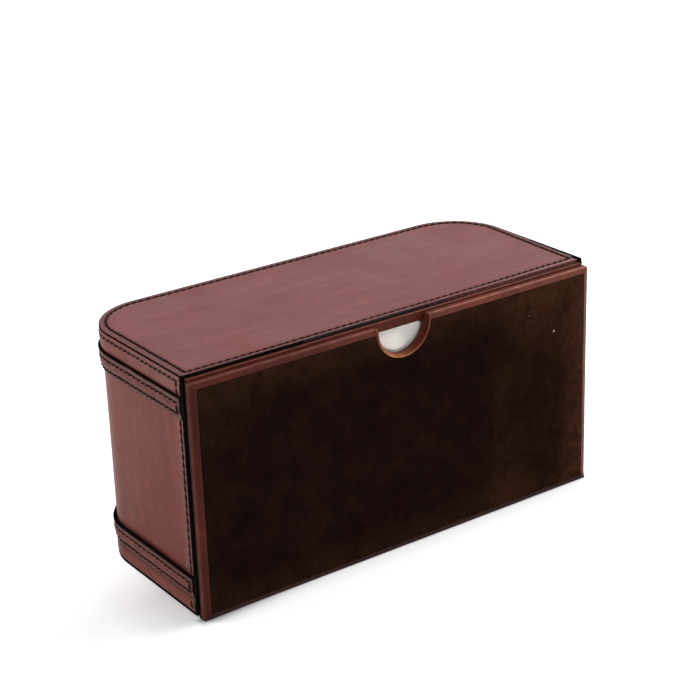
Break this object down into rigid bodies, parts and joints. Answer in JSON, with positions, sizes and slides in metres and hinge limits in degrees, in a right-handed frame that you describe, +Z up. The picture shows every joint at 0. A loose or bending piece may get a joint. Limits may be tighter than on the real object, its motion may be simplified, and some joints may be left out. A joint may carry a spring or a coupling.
{
  "type": "tissue box with drawer",
  "caption": "Leather-covered D-shaped tissue box with a suede-faced drawer that slides out by its finger notch, and an oval tissue slot in the back.",
  "frame": {"origin": "on the floor, under the middle of the whole box", "axes": "+X along the width, to the right as seen from the drawer's front; -Y towards the drawer's front, the way it slides out; +Z up"},
  "size_m": [0.2624, 0.1146, 0.133],
  "materials": {
    "cover_leather": "smooth brown leather, satin, edges painted black",
    "border_leather": "smooth red-brown leather, satin",
    "suede": "very dark brown suede, matt",
    "lining_leather": "thin brown leather, matt",
    "board": "dense fibreboard",
    "tray_leather": "thin board covered in brown leather",
    "tissue": "soft white tissue",
    "thread": "waxed black thread"
  },
  "bodies": {
    "case": {"top_board": "board", "base_board": "board", "wall_board": "board", "top_leather": "cover_leather", "base_leather": "cover_leather", "wall_leather": "cover_leather", "top_collar": "cover_leather", "base_strip": "cover_leather", "upper_band": "cover_leather", "lower_band": "cover_leather", "top_lining": "lining_leather", "base_lining": "lining_leather", "wall_lining": "lining_leather", "mouth_binding_top": "border_leather", "mouth_binding_bottom": "border_leather", "mouth_binding_left": "border_leather", "mouth_binding_right": "border_leather", "slot_edging": "border_leather"},
    "drawer": {"front_board": "board", "front_border": "border_leather", "suede_panel": "suede", "front_backing": "lining_leather", "notch_lining": "border_leather", "drawer_floor": "tray_leather", "drawer_side_left": "tray_leather", "drawer_side_right": "tray_leather", "drawer_back_rail": "tray_leather", "drawer_floor_lining": "lining_leather", "tissue_stack": "tissue"}
  },
  "joints": [
    {"name": "drawer_slide", "type": "slide", "parent": "case", "child": "drawer", "axis": [0, -1, 0], "range_m": [0, 0.09]}
  ]
}
